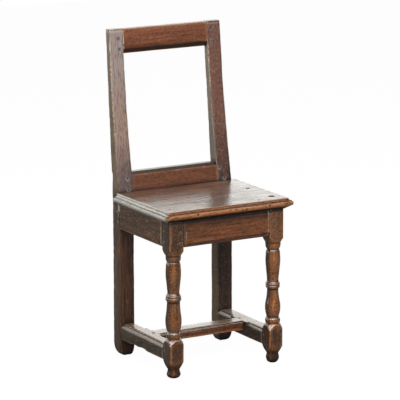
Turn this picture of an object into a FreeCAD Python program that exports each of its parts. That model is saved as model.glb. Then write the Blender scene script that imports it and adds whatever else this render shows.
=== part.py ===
import FreeCAD, Part
import math
import os

os.makedirs("parts", exist_ok=True)
V = FreeCAD.Vector

# Overall size, mm. X to the sitter's left seen from the front, -Y is the front, Z is up from the floor.
HEIGHT = 888.0
FRAME_HALF = 174.0
SEAT_TOP = 455.0
SEAT_THICK = 30.0
SEAT_UNDER = SEAT_TOP - SEAT_THICK

# Front legs: square stock turned between two blocks.
BLOCK = 42.0
LEG_FRONT = -167.0
LEG_BACK = LEG_FRONT + BLOCK
BLOCK_INNER = FRAME_HALF - BLOCK
TOP_BLOCK_EASE = 1.5
LOW_BLOCK_EASE = 3.0
BLOCK_RADIUS = 34.0
TURNING_SHIFT = 0.8

# Rear posts: upright below the seat, raked with a slight bow above it.
POST_FRONT = 106.0
POST_BACK = 144.0
POST_BREAK_LOW = (144.0, 497.0)
POST_BREAK_HIGH = (149.0, 508.0)
POST_TOP_FRONT = 167.0
POST_TOP_BACK = 187.0
POST_BOW = (142.75, 671.5)
POST_EASE = 1.6

# The posts' outer and inner sides seen from the front, as (height, distance from the middle).
POST_OUTER = {
    "left": [(0.0, 174.0), (SEAT_UNDER, 174.0), (SEAT_TOP, 174.8), (HEIGHT, 168.6)],
    "right": [(0.0, 174.0), (SEAT_UNDER, 174.0), (SEAT_TOP, 171.6), (HEIGHT, 170.2)],
}
POST_INNER = {
    "left": [(0.0, 132.0), (SEAT_UNDER, 132.0), (SEAT_TOP, 132.4), (HEIGHT, 129.3)],
    "right": [(0.0, 132.0), (SEAT_UNDER, 132.0), (SEAT_TOP, 131.6), (HEIGHT, 130.0)],
}

# The rear feet are worn round, most at the heel: height of the wear, then its depth at the floor
# on the outer side, the inner side, the front and the back.
HEEL_WEAR = {"left": (32.0, 13.0, 8.0, 6.0, 17.0), "right": (28.0, 12.0, 10.0, 7.0, 15.0)}
HEEL_STEPS = (0.0, 0.1, 0.3, 0.6, 1.0)
BOW_STEPS = 8

# Seat board and its moulded edge, as (inset from the nose, drop from the top).
SEAT_HALF = 195.5
SEAT_FRONT = -187.0
SEAT_CORNER = 7.0
MOULD_ARRIS = (11.5, 0.0)
MOULD_FILLET = (11.2, 3.8)
MOULD_COVE = (8.6, 5.3)
MOULD_COVE_END = (5.8, 5.2)
MOULD_QUIRK = (5.0, 7.4)
MOULD_NOSE_TOP = (1.3, 8.4)
MOULD_NOSE = (0.0, 12.0)
MOULD_NOSE_LOW = (1.0, 16.3)

# Rails and aprons.
APRON_LOW = 354.0
SIDE_APRON_LOW = 355.0
APRON_THICK = 24.0
SIDE_APRON_THICK = 28.0
CREST_LOW = 821.0
CREST_FACE_LOW = 834.5
CREST_THICK = 18.0
CREST_RUN = 10.0
LOWER_RAIL_LOW = 440.0
LOWER_RAIL_FACE_TOP = 498.3
LOWER_RAIL_TOP = 506.0
LOWER_RAIL_THICK = 24.0
QUIRK_STEP = 2.0
QUIRK_RUN = 6.0

# Stretchers.
STRETCHER_LOW = 49.0
STRETCHER_TOP = 90.0
STRETCHER_CHAMFER = 7.0
STRETCHER_QUIRK = 1.5
FRONT_STOP = -48.0
REAR_STOP = 38.0
MEDIAL_FRONT = -32.0
MEDIAL_BACK = 12.0
MEDIAL_LOW = 66.0
MEDIAL_CHAMFER = 4.0
MEDIAL_QUIRK = 1.0
MEDIAL_EASE = 2.0

# Joints.
TENON_THICK = 8.0
TENON_LOW = 362.0
TENON_TOP = 408.0
TENON_LENGTH = 24.0
BACK_TENON_LENGTH = 29.0
MORTISE_EXTRA = 1.0
PEG_RADIUS = 4.0
PEG_PROUD = 0.9
PEG_TAPER = 4.0
PEG_POINT = 1.2
HOLE_LEAD = 3.0
HOLE_SPARE = 0.5

# Turning patterns from the floor up: each cut of the lathe as stations of (height, radius).
# A cut with a round form follows the arc through its three stations, in that many short lengths;
# the others are straight. The two legs were turned by eye, so their stations differ by a few
# millimetres.
ROUND_CUTS = {"bulb": 5, "shoulder": 4, "bead": 4, "cove": 3, "body": 5, "neck": 3}
TURN_SIDES = 28
LEFT_TURNING = [
    ("foot", [(0.0, 9.5), (2.0, 14.4)]),
    ("bulb", [(2.0, 14.4), (8.4, 18.6), (15.5, 17.3)]),
    ("step", [(15.5, 17.3), (22.0, 16.0), (26.0, 16.4), (26.8, 17.8)]),
    ("shoulder", [(26.8, 17.8), (39.5, 24.8), (53.0, 30.4)]),
    ("square", [(53.0, 30.4), (56.0, BLOCK_RADIUS), (80.0, BLOCK_RADIUS), (83.5, 30.6)]),
    ("shoulder", [(83.5, 30.6), (96.5, 25.2), (106.6, 19.4)]),
    ("step", [(106.6, 19.4), (107.4, 17.0), (108.6, 17.0), (109.0, 17.9)]),
    ("bead", [(109.0, 17.9), (116.5, 18.9), (124.0, 16.9)]),
    ("step", [(124.0, 16.9), (124.6, 15.6), (127.4, 15.6), (128.2, 17.6)]),
    ("body", [(128.2, 17.6), (146.0, 20.6), (172.0, 19.2)]),
    ("neck", [(172.0, 19.2), (189.0, 17.4), (205.5, 16.8)]),
    ("step", [(205.5, 16.8), (210.0, 17.2), (210.6, 18.0)]),
    ("bead", [(210.6, 18.0), (215.0, 19.9), (219.4, 18.2)]),
    ("bead", [(219.4, 18.2), (223.0, 19.3), (226.6, 17.0)]),
    ("step", [(226.6, 17.0), (228.6, 16.6), (230.6, 15.9)]),
    ("neck", [(230.6, 15.9), (246.0, 16.5), (264.0, 18.2)]),
    ("body", [(264.0, 18.2), (292.0, 20.3), (314.5, 16.6)]),
    ("step", [(314.5, 16.6), (315.2, 16.0), (316.4, 16.0)]),
    ("cove", [(316.4, 16.0), (320.0, 18.9), (325.5, 20.1)]),
    ("step", [(325.5, 20.1), (332.6, 20.1), (333.6, 20.6)]),
    ("shoulder", [(333.6, 20.6), (341.0, 25.6), (349.0, 29.9)]),
    ("square", [(349.0, 29.9), (353.0, BLOCK_RADIUS), (430.0, BLOCK_RADIUS)]),
]
RIGHT_TURNING = [
    ("foot", [(0.0, 9.0), (2.4, 13.6)]),
    ("bulb", [(2.4, 13.6), (12.0, 17.6), (22.0, 16.6)]),
    ("step", [(22.0, 16.6), (25.0, 16.0), (28.2, 16.6), (29.2, 17.6)]),
    ("shoulder", [(29.2, 17.6), (41.0, 24.6), (54.0, 30.4)]),
    ("square", [(54.0, 30.4), (57.0, BLOCK_RADIUS), (85.0, BLOCK_RADIUS), (88.5, 30.6)]),
    ("shoulder", [(88.5, 30.6), (100.0, 24.8), (109.0, 19.8)]),
    ("step", [(109.0, 19.8), (109.8, 18.0), (110.8, 18.0), (111.2, 18.8)]),
    ("bead", [(111.2, 18.8), (117.5, 19.8), (125.0, 17.6)]),
    ("step", [(125.0, 17.6), (126.0, 16.1), (129.6, 16.0), (130.6, 16.5)]),
    ("body", [(130.6, 16.5), (150.0, 19.8), (172.0, 17.7)]),
    ("neck", [(172.0, 17.7), (187.0, 15.7), (203.0, 14.9)]),
    ("step", [(203.0, 14.9), (206.6, 15.4), (207.2, 16.4)]),
    ("bead", [(207.2, 16.4), (211.0, 18.3), (214.6, 16.7)]),
    ("bead", [(214.6, 16.7), (219.0, 18.6), (223.2, 16.6)]),
    ("step", [(223.2, 16.6), (225.0, 15.9), (226.6, 15.6)]),
    ("neck", [(226.6, 15.6), (244.0, 16.1), (262.0, 17.8)]),
    ("body", [(262.0, 17.8), (289.0, 20.0), (311.0, 16.8)]),
    ("step", [(311.0, 16.8), (312.6, 15.8), (314.4, 15.8)]),
    ("cove", [(314.4, 15.8), (318.4, 18.7), (324.0, 20.3)]),
    ("step", [(324.0, 20.3), (332.8, 20.7), (334.0, 21.0)]),
    ("shoulder", [(334.0, 21.0), (341.0, 25.6), (348.0, 29.9)]),
    ("square", [(348.0, 29.9), (352.0, BLOCK_RADIUS), (430.0, BLOCK_RADIUS)]),
]

# The front feet have been dragged sideways: a facet worn up towards the right, as (start, rise in degrees).
TOE_WEAR = {"left": (1.0, 32.0), "right": (2.0, 36.0)}

# Where the peg heads sit on the faces.
CREST_PEGS = [(-143.5, 864.0), (-142.5, 835.5), (143.5, 862.0), (143.5, 836.0)]
LOWER_RAIL_PEGS = [(-147.5, 491.0), (-146.5, 461.0), (139.5, 492.0), (152.0, 463.0)]
FRONT_APRON_PEGS = [(-142.0, 366.5), (-142.0, 395.5), (146.0, 368.5), (148.0, 394.5)]
REAR_APRON_PEGS = [(-143.0, 369.0), (-143.0, 397.0), (143.0, 369.0), (143.0, 397.0)]
SIDE_APRON_PEGS = [(-134.5, 367.0), (-134.5, 396.0), (115.0, 374.0), (118.5, 401.0)]
LEG_STRETCHER_PEG = (-136.0, 74.0)
POST_STRETCHER_PEG = (116.5, 76.0)
MEDIAL_PEGS = [(-139.5, -16.0), (139.5, 2.0)]
SEAT_PEGS = [(156.0, -136.0), (151.0, -20.0), (103.0, -157.0), (-160.0, -10.0), (-156.0, -138.0)]
SEAT_PEG_SINK = 0.4


def box(x0, x1, y0, y1, z0, z1):
    return Part.makeBox(x1 - x0, y1 - y0, z1 - z0, V(x0, y0, z0))


def prism_x(points, x0, x1):
    corners = [V(x0, y, z) for y, z in points]
    face = Part.Face(Part.makePolygon(corners + corners[:1]))
    return face.extrude(V(x1 - x0, 0, 0))


def prism_y(points, y0, y1):
    corners = [V(x, y0, z) for x, z in points]
    face = Part.Face(Part.makePolygon(corners + corners[:1]))
    return face.extrude(V(0, y1 - y0, 0))


def line(a, b):
    return Part.LineSegment(a, b).toShape()


def arc(a, b, c):
    return Part.Arc(a, b, c).toShape()


def front_of_post(z):
    # The bowed front face is an arc through three points; straight and upright below the seat.
    if z <= SEAT_TOP:
        return POST_FRONT
    y1, z1 = POST_FRONT, SEAT_TOP
    y2, z2 = POST_BOW
    y3, z3 = POST_TOP_FRONT, HEIGHT
    d = 2.0 * (y1 * (z2 - z3) + y2 * (z3 - z1) + y3 * (z1 - z2))
    s1, s2, s3 = y1 * y1 + z1 * z1, y2 * y2 + z2 * z2, y3 * y3 + z3 * z3
    cy = (s1 * (z2 - z3) + s2 * (z3 - z1) + s3 * (z1 - z2)) / d
    cz = (s1 * (y3 - y2) + s2 * (y1 - y3) + s3 * (y2 - y1)) / d
    radius = math.hypot(y1 - cy, z1 - cz)
    side = 1.0 if y1 > cy else -1.0
    return cy + side * math.sqrt(radius * radius - (z - cz) ** 2)


def slope_of_post(z):
    return (front_of_post(z + 1.0) - front_of_post(z - 1.0)) / 2.0


def between(stations, z):
    # Straight-line value at height z in a list of (height, value).
    for (z0, v0), (z1, v1) in zip(stations, stations[1:]):
        if z <= z1:
            return v0 + (v1 - v0) * (z - z0) / (z1 - z0)
    return stations[-1][1]


def back_of_post(z):
    turns = [(0.0, POST_BACK), POST_BREAK_LOW[::-1], POST_BREAK_HIGH[::-1], (HEIGHT, POST_TOP_BACK)]
    return between(turns, z)


def skin(rings):
    # A solid of flat faces over rings with the same number of corners.
    faces = []
    for low, high in zip(rings, rings[1:]):
        for i in range(len(low)):
            j = (i + 1) % len(low)
            faces.append(Part.Face(Part.makePolygon([low[i], low[j], high[j], high[i], low[i]])))
    for ring in (rings[0], rings[-1]):
        faces.append(Part.Face(Part.makePolygon(ring + ring[:1])))
    solid = Part.makeSolid(Part.makeShell(faces))
    if solid.Volume < 0:
        solid.reverse()
    return solid


def along_z(shape, least):
    found = []
    for edge in shape.Edges:
        b = edge.BoundBox
        if b.ZLength > least and b.XLength < 0.2 * b.ZLength:
            found.append(edge)
    return found


def post_outline(side):
    points = [(x, z) for z, x in POST_OUTER[side]] + [(x, z) for z, x in reversed(POST_INNER[side])]
    if side == "left":
        points = [(-x, z) for x, z in points]
    return prism_y(points, 90.0, 200.0)


def post_ring(side, z):
    # The post's section at one height: a rectangle with eased arrises, smaller in the worn foot.
    sign = -1.0 if side == "left" else 1.0
    height, *depths = HEEL_WEAR[side]
    worn = 1.0 - math.sqrt(1.0 - max(0.0, 1.0 - z / height) ** 2)
    outer_in, inner_in, front_in, back_in = [d * worn for d in depths]
    x0 = between(POST_INNER[side], z) + inner_in
    x1 = between(POST_OUTER[side], z) - outer_in
    y0 = front_of_post(z) + front_in
    y1 = back_of_post(z) - back_in
    e = POST_EASE
    corners = [(x0 + e, y0), (x1 - e, y0), (x1, y0 + e), (x1, y1 - e),
               (x1 - e, y1), (x0 + e, y1), (x0, y1 - e), (x0, y0 + e)]
    return [V(sign * x, y, z) for x, y in corners]


def post_blank(side):
    heel = HEEL_WEAR[side][0]
    heights = [heel * step for step in HEEL_STEPS]
    heights += [SEAT_UNDER, SEAT_TOP, POST_BREAK_LOW[1], POST_BREAK_HIGH[1]]
    rise = HEIGHT - SEAT_TOP
    heights += [SEAT_TOP + rise * i / BOW_STEPS for i in range(2, BOW_STEPS + 1)]
    return skin([post_ring(side, z) for z in heights])


def turned(pattern, axis_x, axis_y):
    # The outline is swept round the axis in TURN_SIDES steps, as a loft of flat facets.
    outline = []
    for cut, stations in pattern:
        points = [V(r, 0, z) for z, r in stations]
        if cut in ROUND_CUTS:
            points = arc(*points).discretize(ROUND_CUTS[cut] + 1)
        outline += points if not outline else points[1:]
    steps = [2.0 * math.pi * (i + 0.5) / TURN_SIDES for i in range(TURN_SIDES)]
    rings = []
    for p in outline:
        rings.append([V(axis_x + p.x * math.cos(t), axis_y + p.x * math.sin(t), p.z) for t in steps])
    return skin(rings)


def eased_square(x0, x1, y0, y1, z0, z1, ease):
    stock = box(x0, x1, y0, y1, z0, z1)
    return stock.makeChamfer(ease, along_z(stock, 20.0))


def toe_wear(side, axis_x):
    # The wedge of wood that dragging has worn off under the foot.
    start, degrees = TOE_WEAR[side]
    wedge = box(0.0, 40.0, LEG_FRONT - 5.0, LEG_BACK + 5.0, -30.0, 0.0)
    wedge.rotate(V(0, 0, 0), V(0, -1, 0), degrees)
    wedge.translate(V(axis_x + start, 0, 0))
    return wedge


def leg_blank(side):
    x0, x1 = (-FRAME_HALF, -BLOCK_INNER) if side == "left" else (BLOCK_INNER, FRAME_HALF)
    middle = 200.0
    low = eased_square(x0, x1, LEG_FRONT, LEG_BACK, 0.0, middle, LOW_BLOCK_EASE)
    top = eased_square(x0, x1, LEG_FRONT, LEG_BACK, middle, SEAT_UNDER, TOP_BLOCK_EASE)
    pattern = LEFT_TURNING if side == "left" else RIGHT_TURNING
    axis_x = (x0 + x1) / 2.0 + TURNING_SHIFT
    lathe = turned(pattern, axis_x, (LEG_FRONT + LEG_BACK) / 2.0)
    return lathe.common(low.fuse(top)).removeSplitter().cut(toe_wear(side, axis_x))


def moulded_edge(place):
    # The edge section from the top arris round the nose, as edges between points placed by the caller.
    p = [place(*q) for q in (MOULD_ARRIS, MOULD_FILLET, MOULD_COVE, MOULD_COVE_END, MOULD_QUIRK,
                             MOULD_NOSE_TOP, MOULD_NOSE, MOULD_NOSE_LOW)]
    return [line(p[0], p[1]), arc(p[1], p[2], p[3]), line(p[3], p[4]), line(p[4], p[5]),
            arc(p[5], p[6], p[7])], p[0], p[7]


def seat_board():
    over_front = LEG_FRONT - SEAT_FRONT
    over_side = SEAT_HALF - FRAME_HALF

    def at_front(inset, drop):
        return V(-210.0, SEAT_FRONT + inset, SEAT_TOP - drop)

    def at_left(inset, drop):
        return V(-SEAT_HALF + inset, -210.0, SEAT_TOP - drop)

    def at_right(inset, drop):
        return V(SEAT_HALF - inset, -210.0, SEAT_TOP - drop)

    edges, arris, nose = moulded_edge(at_front)
    under = at_front(over_front, SEAT_THICK)
    back_low = V(-210.0, POST_FRONT, SEAT_UNDER)
    back_top = V(-210.0, POST_FRONT, SEAT_TOP)
    edges += [line(nose, under), line(under, back_low), line(back_low, back_top), line(back_top, arris)]
    front_run = Part.Face(Part.Wire(edges)).extrude(V(420, 0, 0))

    left, left_arris, left_nose = moulded_edge(at_left)
    right, right_arris, right_nose = moulded_edge(at_right)
    left_under = at_left(over_side, SEAT_THICK)
    right_under = at_right(over_side, SEAT_THICK)
    ring = left + [line(left_nose, left_under), line(left_under, right_under), line(right_under, right_nose)]
    ring += right + [line(right_arris, left_arris)]
    side_run = Part.Face(Part.Wire(Part.__sortEdges__(ring))).extrude(V(0, 340, 0))

    plan = box(-SEAT_HALF, SEAT_HALF, SEAT_FRONT, POST_FRONT, SEAT_UNDER, SEAT_TOP)
    corners = [e for e in along_z(plan, 20.0) if e.BoundBox.YMax < 0]
    plan = plan.makeFillet(SEAT_CORNER, corners)
    return front_run.common(side_run).common(plan).removeSplitter()


def raked_band(near, far, z0, z1):
    return [(front_of_post(z0) + near, z0), (front_of_post(z1) + near, z1),
            (front_of_post(z1) + far, z1), (front_of_post(z0) + far, z0)]


def crest_blank():
    top, face_low = front_of_post(HEIGHT), front_of_post(CREST_FACE_LOW)
    low = front_of_post(CREST_LOW)
    return [(top, HEIGHT), (face_low, CREST_FACE_LOW), (face_low + QUIRK_STEP, CREST_FACE_LOW - 0.8),
            (low + CREST_RUN - 1.5, CREST_LOW + 2.5), (low + CREST_RUN, CREST_LOW),
            (low + CREST_THICK, CREST_LOW), (top + CREST_THICK, HEIGHT)]


def lower_rail_blank():
    face_top = front_of_post(LOWER_RAIL_FACE_TOP)
    top = front_of_post(LOWER_RAIL_TOP)
    return [(POST_FRONT, LOWER_RAIL_LOW), (POST_FRONT, SEAT_TOP), (face_top, LOWER_RAIL_FACE_TOP),
            (face_top + QUIRK_STEP, LOWER_RAIL_FACE_TOP + 0.6), (top + QUIRK_RUN, LOWER_RAIL_TOP),
            (top + LOWER_RAIL_THICK, LOWER_RAIL_TOP), (POST_FRONT + LOWER_RAIL_THICK, SEAT_TOP),
            (POST_FRONT + LOWER_RAIL_THICK, LOWER_RAIL_LOW)]


def apron_section(front, low):
    return [(front, SEAT_UNDER), (front, low + 11.0), (front + QUIRK_STEP, low + 10.4),
            (front + QUIRK_RUN - 1.5, low + 2.5), (front + QUIRK_RUN, low),
            (front + APRON_THICK, low), (front + APRON_THICK, SEAT_UNDER)]


def stretcher_section(side):
    chamfer_top = STRETCHER_TOP - STRETCHER_QUIRK
    points = [(FRAME_HALF, STRETCHER_LOW), (FRAME_HALF, chamfer_top - STRETCHER_CHAMFER),
              (FRAME_HALF - STRETCHER_CHAMFER, chamfer_top), (FRAME_HALF - STRETCHER_CHAMFER, STRETCHER_TOP),
              (BLOCK_INNER, STRETCHER_TOP), (BLOCK_INNER, STRETCHER_LOW)]
    if side == "left":
        points = [(-x, z) for x, z in points]
    return points


def inner_chamfer(side, y0, y1):
    # A wedge that planes the inner top arris off, from the leg to its stop.
    over = 1.0
    points = [(BLOCK_INNER - over, STRETCHER_TOP - STRETCHER_CHAMFER - over),
              (BLOCK_INNER + STRETCHER_CHAMFER + over, STRETCHER_TOP + over),
              (BLOCK_INNER - over, STRETCHER_TOP + over)]
    if side == "left":
        points = [(-x, z) for x, z in points]
    return prism_y(points, y0, y1)


def medial_section():
    chamfer_top = STRETCHER_TOP - MEDIAL_QUIRK
    chamfer_back = MEDIAL_FRONT + MEDIAL_CHAMFER
    return [(MEDIAL_FRONT, MEDIAL_LOW), (MEDIAL_FRONT, chamfer_top - MEDIAL_CHAMFER),
            (chamfer_back, chamfer_top), (chamfer_back, STRETCHER_TOP),
            (MEDIAL_BACK - MEDIAL_EASE, STRETCHER_TOP), (MEDIAL_BACK, STRETCHER_TOP - MEDIAL_EASE),
            (MEDIAL_BACK, MEDIAL_LOW)]


def peg_rings(head, direction, sections):
    # Eight-sided rings along the peg's run, as (distance from the head, radius).
    run = V(*direction).normalize()
    across = run.cross(V(0, 0, 1) if abs(run.z) < 0.9 else V(1, 0, 0)).normalize()
    up = run.cross(across)
    rings = []
    for distance, radius in sections:
        middle = V(*head) + run * distance
        turns = [math.radians(22.5 + 45.0 * i) for i in range(8)]
        rings.append([middle + across * (radius * math.cos(t)) + up * (radius * math.sin(t)) for t in turns])
    return rings


def peg(head, direction, length):
    # A pin split from the log and shaved to eight sides: eased head, straight shank, tapered point.
    sections = [(0.0, PEG_RADIUS - PEG_PROUD), (PEG_PROUD, PEG_RADIUS),
                (length - PEG_TAPER, PEG_RADIUS), (length, PEG_RADIUS - PEG_POINT)]
    return skin(peg_rings(head, direction, sections))


def peg_hole(head, direction, length):
    # The hole takes the shape of the pin driven into it. It starts in front of the head, so that a sunk
    # pin's hole is open too, and ends past the point.
    sections = [(-HOLE_LEAD, PEG_RADIUS), (length + HOLE_SPARE, PEG_RADIUS)]
    return skin(peg_rings(head, direction, sections))


def face_pegs(places, length):
    # Pegs driven square to the raked front of the posts.
    rows = []
    for x, z in places:
        m = slope_of_post(z)
        across = V(0, 1, -m).normalize()
        head = V(x, front_of_post(z), z) - across * PEG_PROUD
        rows.append((tuple(head), tuple(across), length + PEG_PROUD))
    return rows


def solids(rows):
    return [peg(*row) for row in rows]


def bored(shape, rows):
    return shape.cut([peg_hole(*row) for row in rows])


def export(shape, name):
    shape.exportStep("parts/" + name + ".step")


# Pegs first, because every bored piece needs them.
crest_rows = face_pegs(CREST_PEGS, 17.0)
lower_rail_rows = face_pegs(LOWER_RAIL_PEGS, 25.0)
front_apron_rows = [((x, LEG_FRONT - PEG_PROUD, z), (0, 1, 0), 25.0) for x, z in FRONT_APRON_PEGS]
rear_apron_rows = [((x, POST_BACK + PEG_PROUD, z), (0, -1, 0), 35.0) for x, z in REAR_APRON_PEGS]
side_rows = {}
stretcher_rows = {}
for side, sign in (("left", -1.0), ("right", 1.0)):
    outside = sign * (FRAME_HALF + PEG_PROUD)
    inward = (-sign, 0, 0)
    side_rows[side] = [((outside, y, z), inward, 19.5) for y, z in SIDE_APRON_PEGS]
    leg_y, leg_z = LEG_STRETCHER_PEG
    post_y, post_z = POST_STRETCHER_PEG
    stretcher_rows[side] = [((outside, leg_y, leg_z), inward, BLOCK + 2.0 * PEG_PROUD),
                            ((outside, post_y, post_z), inward, 31.0)]
medial_rows = [((x, y, STRETCHER_TOP + PEG_PROUD), (0, 0, -1), 29.0) for x, y in MEDIAL_PEGS]
seat_rows = [((x, y, SEAT_TOP - SEAT_PEG_SINK), (0, 0, -1), 43.0) for x, y in SEAT_PEGS]

# Tenon tongues, made once; the mortises are the same tongues a little longer.
crest_tongue = raked_band(5.0, 5.0 + TENON_THICK, CREST_LOW + 9.0, HEIGHT - 12.0)
lower_tongue = raked_band(8.0, 8.0 + TENON_THICK, LOWER_RAIL_LOW + 6.0, LOWER_RAIL_TOP - 9.0)


def crest_tenon(extra):
    reach = BLOCK_INNER + BACK_TENON_LENGTH + extra
    return prism_x(crest_tongue, -reach, reach)


def lower_tenon(extra):
    reach = BLOCK_INNER + BACK_TENON_LENGTH + extra
    return prism_x(lower_tongue, -reach, reach)


def apron_tenon(front, extra):
    reach = BLOCK_INNER + TENON_LENGTH - 1.0 + extra
    return box(-reach, reach, front + 8.0, front + 8.0 + TENON_THICK, TENON_LOW, TENON_TOP)


def long_tenon(sign, outer, z0, z1, extra):
    inner = outer - TENON_THICK
    x0, x1 = sorted((sign * outer, sign * inner))
    y0 = LEG_BACK - TENON_LENGTH - extra
    y1 = POST_FRONT + TENON_LENGTH + extra
    return box(x0, x1, y0, y1, z0, z1)


def side_apron_tenon(sign, extra):
    return long_tenon(sign, FRAME_HALF - 7.5, TENON_LOW, TENON_TOP, extra)


def stretcher_tenon(sign, extra):
    return long_tenon(sign, FRAME_HALF - 17.0, STRETCHER_LOW + 7.0, STRETCHER_TOP - 8.0, extra)


def medial_tenon(extra):
    reach = BLOCK_INNER + TENON_LENGTH + extra
    return box(-reach, reach, MEDIAL_FRONT + 4.0, MEDIAL_BACK - 4.0, MEDIAL_LOW + 6.0, MEDIAL_LOW + 15.0)


outlines = {side: post_outline(side) for side in ("left", "right")}

# Rails between the posts, cut to the posts' own inner faces.
crest = prism_x(crest_blank(), -150.0, 150.0).cut([outlines["left"], outlines["right"]])
crest = bored(crest.fuse(crest_tenon(0.0)).removeSplitter(), crest_rows)
export(crest, "crest_rail")

lower_rail = prism_x(lower_rail_blank(), -150.0, 150.0).cut([outlines["left"], outlines["right"]])
lower_rail = bored(lower_rail.fuse(lower_tenon(0.0)).removeSplitter(), lower_rail_rows)
export(lower_rail, "lower_back_rail")

front_apron = prism_x(apron_section(LEG_FRONT, APRON_LOW), -BLOCK_INNER, BLOCK_INNER)
front_apron = front_apron.fuse(apron_tenon(LEG_FRONT, 0.0)).removeSplitter()
front_apron = bored(front_apron, front_apron_rows + seat_rows)
export(front_apron, "front_apron")

rear_apron = box(-BLOCK_INNER, BLOCK_INNER, POST_FRONT, POST_FRONT + APRON_THICK, SIDE_APRON_LOW, SEAT_UNDER)
rear_apron = rear_apron.fuse(apron_tenon(POST_FRONT, 0.0)).removeSplitter()
export(bored(rear_apron, rear_apron_rows), "rear_apron")

medial = prism_x(medial_section(), -BLOCK_INNER, BLOCK_INNER).fuse(medial_tenon(0.0)).removeSplitter()
export(bored(medial, medial_rows), "medial_stretcher")

for side, sign in (("left", -1.0), ("right", 1.0)):
    x0, x1 = sorted((sign * FRAME_HALF, sign * (FRAME_HALF - SIDE_APRON_THICK)))
    apron = box(x0, x1, LEG_BACK, POST_FRONT, SIDE_APRON_LOW, SEAT_UNDER)
    apron = apron.fuse(side_apron_tenon(sign, 0.0)).removeSplitter()
    export(bored(apron, side_rows[side] + seat_rows), "side_apron_" + side)

    stretcher = prism_y(stretcher_section(side), LEG_BACK, POST_FRONT)
    stretcher = stretcher.cut([inner_chamfer(side, LEG_BACK - 1.0, FRONT_STOP),
                               inner_chamfer(side, REAR_STOP, POST_FRONT + 1.0)])
    stretcher = stretcher.fuse(stretcher_tenon(sign, 0.0)).removeSplitter()
    stretcher = stretcher.cut(medial_tenon(MORTISE_EXTRA))
    export(bored(stretcher, stretcher_rows[side] + medial_rows), "side_stretcher_" + side)

    leg = leg_blank(side)
    leg = leg.cut([apron_tenon(LEG_FRONT, MORTISE_EXTRA), side_apron_tenon(sign, MORTISE_EXTRA),
                   stretcher_tenon(sign, MORTISE_EXTRA)])
    leg = bored(leg, front_apron_rows + side_rows[side] + stretcher_rows[side] + seat_rows)
    export(leg, "front_leg_" + side)

    post = post_blank(side)
    post = post.cut([crest_tenon(MORTISE_EXTRA), lower_tenon(MORTISE_EXTRA),
                     apron_tenon(POST_FRONT, MORTISE_EXTRA), side_apron_tenon(sign, MORTISE_EXTRA),
                     stretcher_tenon(sign, MORTISE_EXTRA)])
    post = bored(post, crest_rows + lower_rail_rows + rear_apron_rows)
    post = bored(post, side_rows[side] + stretcher_rows[side])
    export(post, "rear_post_" + side)

    export(Part.makeCompound(solids(side_rows[side])), "side_apron_" + side + "_pegs")
    export(Part.makeCompound(solids(stretcher_rows[side])), "side_stretcher_" + side + "_pegs")

export(bored(seat_board(), seat_rows), "seat_board")
export(Part.makeCompound(solids(crest_rows)), "crest_rail_pegs")
export(Part.makeCompound(solids(lower_rail_rows)), "lower_back_rail_pegs")
export(Part.makeCompound(solids(front_apron_rows)), "front_apron_pegs")
export(Part.makeCompound(solids(rear_apron_rows)), "rear_apron_pegs")
export(Part.makeCompound(solids(medial_rows)), "medial_stretcher_pegs")
export(Part.makeCompound(solids(seat_rows)), "seat_pegs")
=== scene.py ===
import bmesh
import bpy
import math
from mathutils import Matrix, Vector, noise
from mathutils.bvhtree import BVHTree


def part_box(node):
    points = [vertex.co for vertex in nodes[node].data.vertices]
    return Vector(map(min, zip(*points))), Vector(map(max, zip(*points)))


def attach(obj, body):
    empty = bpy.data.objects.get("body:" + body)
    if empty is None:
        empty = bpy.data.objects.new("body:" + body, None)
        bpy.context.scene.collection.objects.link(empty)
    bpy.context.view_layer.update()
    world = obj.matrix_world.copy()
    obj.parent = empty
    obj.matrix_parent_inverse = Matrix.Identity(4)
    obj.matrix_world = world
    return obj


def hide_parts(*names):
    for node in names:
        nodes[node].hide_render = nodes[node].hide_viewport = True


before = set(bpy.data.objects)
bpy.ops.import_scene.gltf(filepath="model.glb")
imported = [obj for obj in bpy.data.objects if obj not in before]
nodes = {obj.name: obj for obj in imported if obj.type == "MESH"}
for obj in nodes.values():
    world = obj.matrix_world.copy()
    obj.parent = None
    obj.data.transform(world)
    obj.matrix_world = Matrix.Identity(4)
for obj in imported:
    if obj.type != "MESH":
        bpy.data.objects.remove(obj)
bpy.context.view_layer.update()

scene = bpy.context.scene
MM = 0.001
# Points of a node's mesh closer than this are one point.
SAME_POINT = 0.02 * MM

# Places on the chair, read from its solids. X runs from left to right as the photo shows it, Y from front to
# back, and Z up from the floor.
LEG_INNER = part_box("front_leg_left")[1][0]
LEG_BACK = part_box("front_leg_left")[1][1]
POST_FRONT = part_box("rear_post_left")[0][1]
POST_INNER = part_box("rear_post_left")[1][0]
SEAT_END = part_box("seat_board")[0][0]
SEAT_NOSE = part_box("seat_board")[0][1]
SEAT_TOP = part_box("seat_board")[1][2]
FRAME_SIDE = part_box("side_stretcher_left")[0][0]


# Colours

def linear(hex_colour):
    """An sRGB hex colour as the linear RGBA that Blender's sockets take."""
    channels = [int(hex_colour[i:i + 2], 16) / 255.0 for i in (1, 3, 5)]
    curved = [c / 12.92 if c <= 0.04045 else ((c + 0.055) / 1.055) ** 2.4 for c in channels]
    return (*curved, 1.0)


# Node helper

def add(tree, kind, settings=None, **links):
    """Adds a node. A setting is an attribute or an input's value. A link brings an output, or a node's first
    output, to an input: i0 is input number 0, and an underscore stands for the space in a name."""
    node = tree.nodes.new(kind)
    for name, value in (settings or {}).items():
        if isinstance(name, str) and hasattr(node, name):
            setattr(node, name, value)
        else:
            node.inputs[name].default_value = value
    for name, source in links.items():
        key = int(name[1:]) if name[0] == "i" and name[1:].isdigit() else name.replace("_", " ")
        output = source.outputs[0] if isinstance(source, bpy.types.Node) else source
        tree.links.new(output, node.inputs[key])
    return node


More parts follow.
